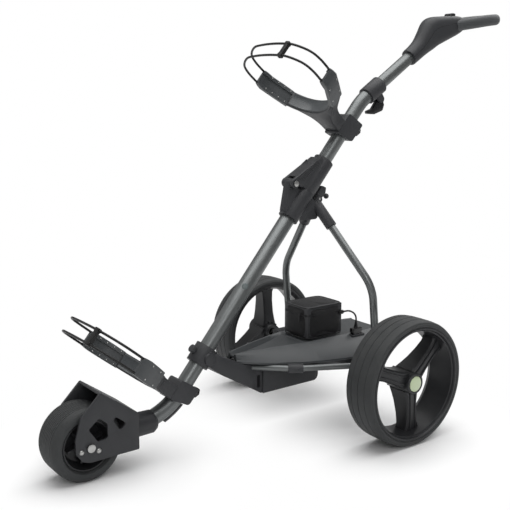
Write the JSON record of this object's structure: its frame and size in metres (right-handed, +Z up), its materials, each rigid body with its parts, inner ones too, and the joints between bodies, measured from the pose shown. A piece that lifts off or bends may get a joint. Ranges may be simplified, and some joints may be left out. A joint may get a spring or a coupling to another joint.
{
  "type": "electric golf trolley",
  "caption": "Three-wheeled electric golf trolley: folding tube spine, two bag cradles with elastic straps, battery tray, twin stays, wide wheels and a looped grip with a speed dial.",
  "frame": {"origin": "on the ground under the middle of the outline", "axes": "+Z up, -Y the way the trolley drives, +X the trolley's left side"},
  "size_m": [0.6048, 1.3119, 0.974],
  "materials": {
    "gunmetal": "satin gunmetal-grey paint on round tube",
    "bare_steel": "plain turned steel",
    "black_moulding": "fine-grained black glass-filled nylon",
    "grey_moulding": "satin dark grey moulding",
    "black_gloss": "smooth black plastic",
    "tyre_rubber": "soft dark grey foam tyre, fine circumferential grooves",
    "grip_foam": "soft textured grip",
    "strap_rubber": "smooth black elastic cord and rubber",
    "bag_fabric": "heavy black woven nylon, padded",
    "battery_case": "plain moulded case",
    "board_green": "circuit board",
    "gear_nylon": "natural nylon",
    "motor_steel": "black zinc motor can",
    "screw_steel": "bright zinc screws"
  },
  "bodies": {
    "frame": {"lower_tube": "gunmetal", "bend_guard": "black_moulding", "fork_collar": "black_moulding", "front_fork": "black_moulding", "front_axle": "bare_steel", "fork_screws": "screw_steel", "lower_cradle_clamp": "black_moulding", "lower_cradle": "grey_moulding", "lower_cradle_arms": "grey_moulding", "lower_cradle_screws": "screw_steel", "lower_cradle_strap": "strap_rubber", "lower_knuckle": "black_moulding", "hinge_pins": "bare_steel", "stay_yoke": "black_moulding", "stay_tubes": "gunmetal", "pivot_collar": "black_moulding", "front_bracket": "black_moulding", "chassis_tubes": "gunmetal", "chassis_clips": "black_moulding", "motor_trough": "black_moulding", "controller_board": "board_green", "motor": "motor_steel", "axle_housing": "black_moulding", "axle_bearings": "bare_steel", "tray_base": "black_moulding", "tray_cover": "grey_moulding", "power_socket": "black_gloss"},
    "upper_frame": {"upper_knuckle": "black_moulding", "upper_tube": "gunmetal", "upper_cradle_clamp": "black_moulding", "upper_cradle": "grey_moulding", "upper_cradle_arms": "grey_moulding", "upper_cradle_screws": "screw_steel", "upper_cradle_strap": "strap_rubber", "height_collar": "black_moulding"},
    "handle": {"handle_tube": "gunmetal", "handle_top_shell": "black_gloss", "handle_bottom_shell": "black_gloss", "grip_loop": "grip_foam"},
    "height_lever": {"clamp_lever": "black_moulding"},
    "fold_latch": {"hinge_latch": "black_moulding"},
    "rear_wheelset": {"drive_axle": "bare_steel", "axle_gear": "gear_nylon", "rear_tyre_left": "tyre_rubber", "rear_tyre_right": "tyre_rubber", "rear_rim_left": "black_moulding", "rear_rim_right": "black_moulding"},
    "motor_shaft": {"motor_pinion": "bare_steel"},
    "front_wheel": {"front_tyre": "tyre_rubber", "front_rim": "black_moulding"},
    "dial": {"speed_dial": "black_gloss"},
    "button": {"power_button": "strap_rubber"},
    "battery": {"battery_bag": "bag_fabric", "battery_pack": "battery_case", "battery_lead": "strap_rubber", "lead_plug": "black_gloss"},
    "release_left": {"hub_release_left": "screw_steel"},
    "release_right": {"hub_release_right": "screw_steel"},
    "upper_knob": {"upper_cradle_knob": "black_gloss"},
    "lower_knob": {"lower_cradle_knob": "black_gloss"}
  },
  "joints": [
    {"name": "upper_fold", "type": "hinge", "parent": "frame", "child": "upper_frame", "pos_m": [0, -0.03723, 0.56735], "axis": [1, 0, 0], "range_deg": [0, 125]},
    {"name": "height_slide", "type": "slide", "parent": "upper_frame", "child": "handle", "axis": [0, 0.8339, 0.5519], "range_m": [0, 0.03]},
    {"name": "height_lever_swing", "type": "hinge", "parent": "upper_frame", "child": "height_lever", "pos_m": [0, 0.23636, 0.75242], "axis": [1, 0, 0], "range_deg": [0, 90]},
    {"name": "fold_latch_pull", "type": "hinge", "parent": "frame", "child": "fold_latch", "pos_m": [0, 0.03987, 0.52746], "axis": [1, 0, 0], "range_deg": [-25, 0], "stiffness_Nm_per_rad": 0.2, "springref_deg": 5.73},
    {"name": "axle_spin", "type": "hinge", "parent": "frame", "child": "rear_wheelset", "pos_m": [0, 0.082, 0.1425], "axis": [1, 0, 0], "continuous": true},
    {"name": "motor_spin", "type": "hinge", "parent": "frame", "child": "motor_shaft", "pos_m": [0, 0.12895, 0.13252], "axis": [1, 0, 0], "continuous": true},
    {"name": "front_wheel_spin", "type": "hinge", "parent": "frame", "child": "front_wheel", "pos_m": [0, -0.5782, 0.0777], "axis": [1, 0, 0], "continuous": true},
    {"name": "speed_dial_turn", "type": "hinge", "parent": "handle", "child": "dial", "pos_m": [0, 0.4835, 0.96304], "axis": [0, -0.1114, 0.9938], "range_deg": [0, 270]},
    {"name": "power_button_press", "type": "slide", "parent": "handle", "child": "button", "axis": [0, 0.1114, -0.9938], "range_m": [0, 0.002], "stiffness_N_per_m": 300, "springref_m": -0.001},
    {"name": "battery_lift", "type": "slide", "parent": "frame", "child": "battery", "axis": [0, 0, 1], "range_m": [0, 0.15]},
    {"name": "hub_release_left_press", "type": "slide", "parent": "rear_wheelset", "child": "release_left", "axis": [-1, 0, 0], "range_m": [0, 0.0025], "stiffness_N_per_m": 500, "springref_m": -0.001},
    {"name": "hub_release_right_press", "type": "slide", "parent": "rear_wheelset", "child": "release_right", "axis": [1, 0, 0], "range_m": [0, 0.0025], "stiffness_N_per_m": 500, "springref_m": -0.001},
    {"name": "upper_knob_turn", "type": "hinge", "parent": "upper_frame", "child": "upper_knob", "pos_m": [0, 0.15972, 0.68274], "axis": [0, 0.766, -0.6428], "range_deg": [0, 360]},
    {"name": "lower_knob_turn", "type": "hinge", "parent": "frame", "child": "lower_knob", "pos_m": [0, -0.30822, 0.12506], "axis": [0, 0.766, -0.6428], "range_deg": [0, 360]}
  ],
  "couplings": [
    {"joint": "motor_spin", "follows": "axle_spin", "ratio": -3}
  ]
}
